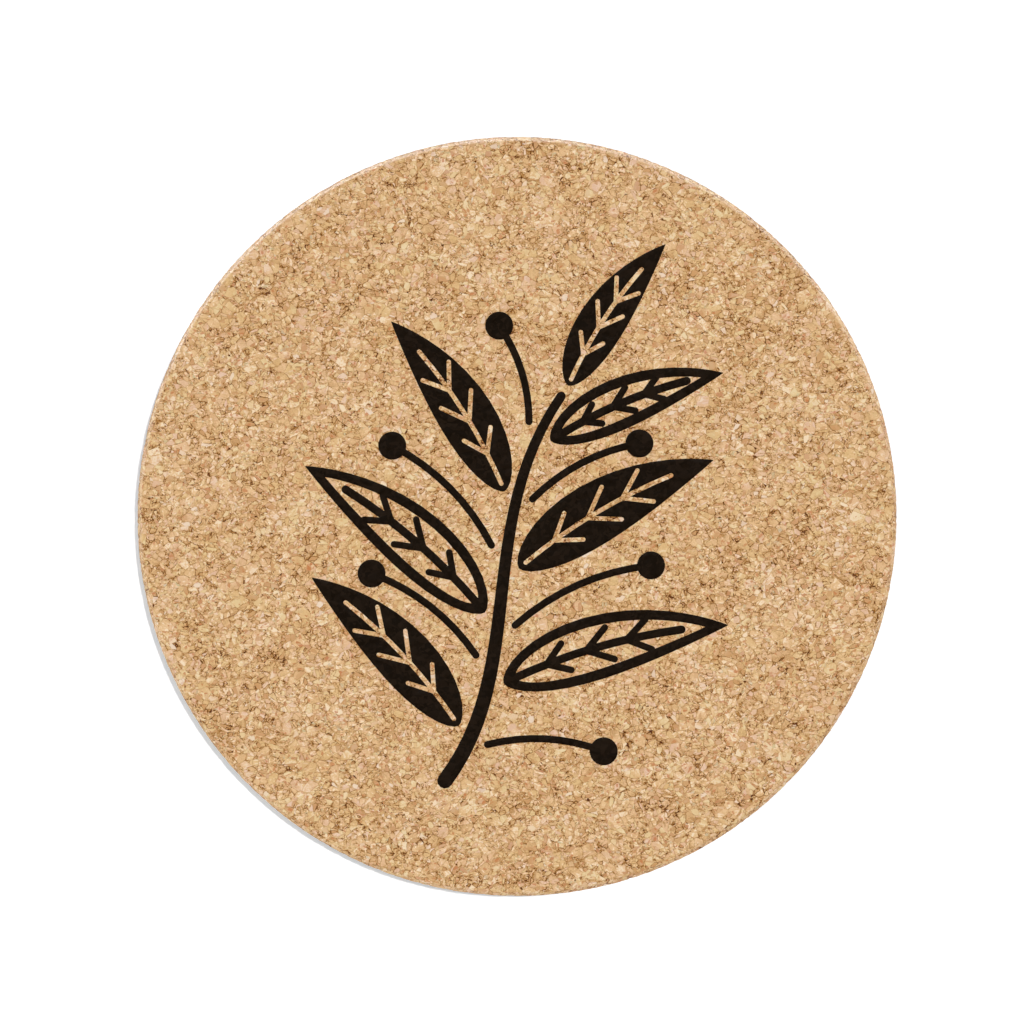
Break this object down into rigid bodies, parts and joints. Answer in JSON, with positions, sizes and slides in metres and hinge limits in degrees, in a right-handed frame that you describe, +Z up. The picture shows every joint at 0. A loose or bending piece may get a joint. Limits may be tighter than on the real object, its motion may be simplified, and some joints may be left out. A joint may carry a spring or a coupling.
{
  "type": "trivet",
  "caption": "Round pressed-cork trivet with bevelled edges and a printed leaf sprig on its top face, for resting hot dishes on.",
  "frame": {"origin": "centre of the underside, on the surface that the trivet lies on", "axes": "+Z up through the thickness; +Y towards the top of the printed sprig, +X to the right of it"},
  "size_m": [0.19, 0.19, 0.01],
  "materials": {
    "cork": "matte",
    "ink": "matte"
  },
  "bodies": {
    "root": {"cork_disc": "cork", "ink_stem": "ink", "ink_leaf_1": "ink", "ink_leaf_2": "ink", "ink_leaf_3": "ink", "ink_leaf_4": "ink", "ink_leaf_5": "ink", "ink_leaf_6": "ink", "ink_leaf_7": "ink", "ink_berry_1": "ink", "ink_berry_2": "ink", "ink_berry_3": "ink", "ink_berry_4": "ink", "ink_berry_5": "ink", "ink_berry_6": "ink"}
  },
  "joints": []
}
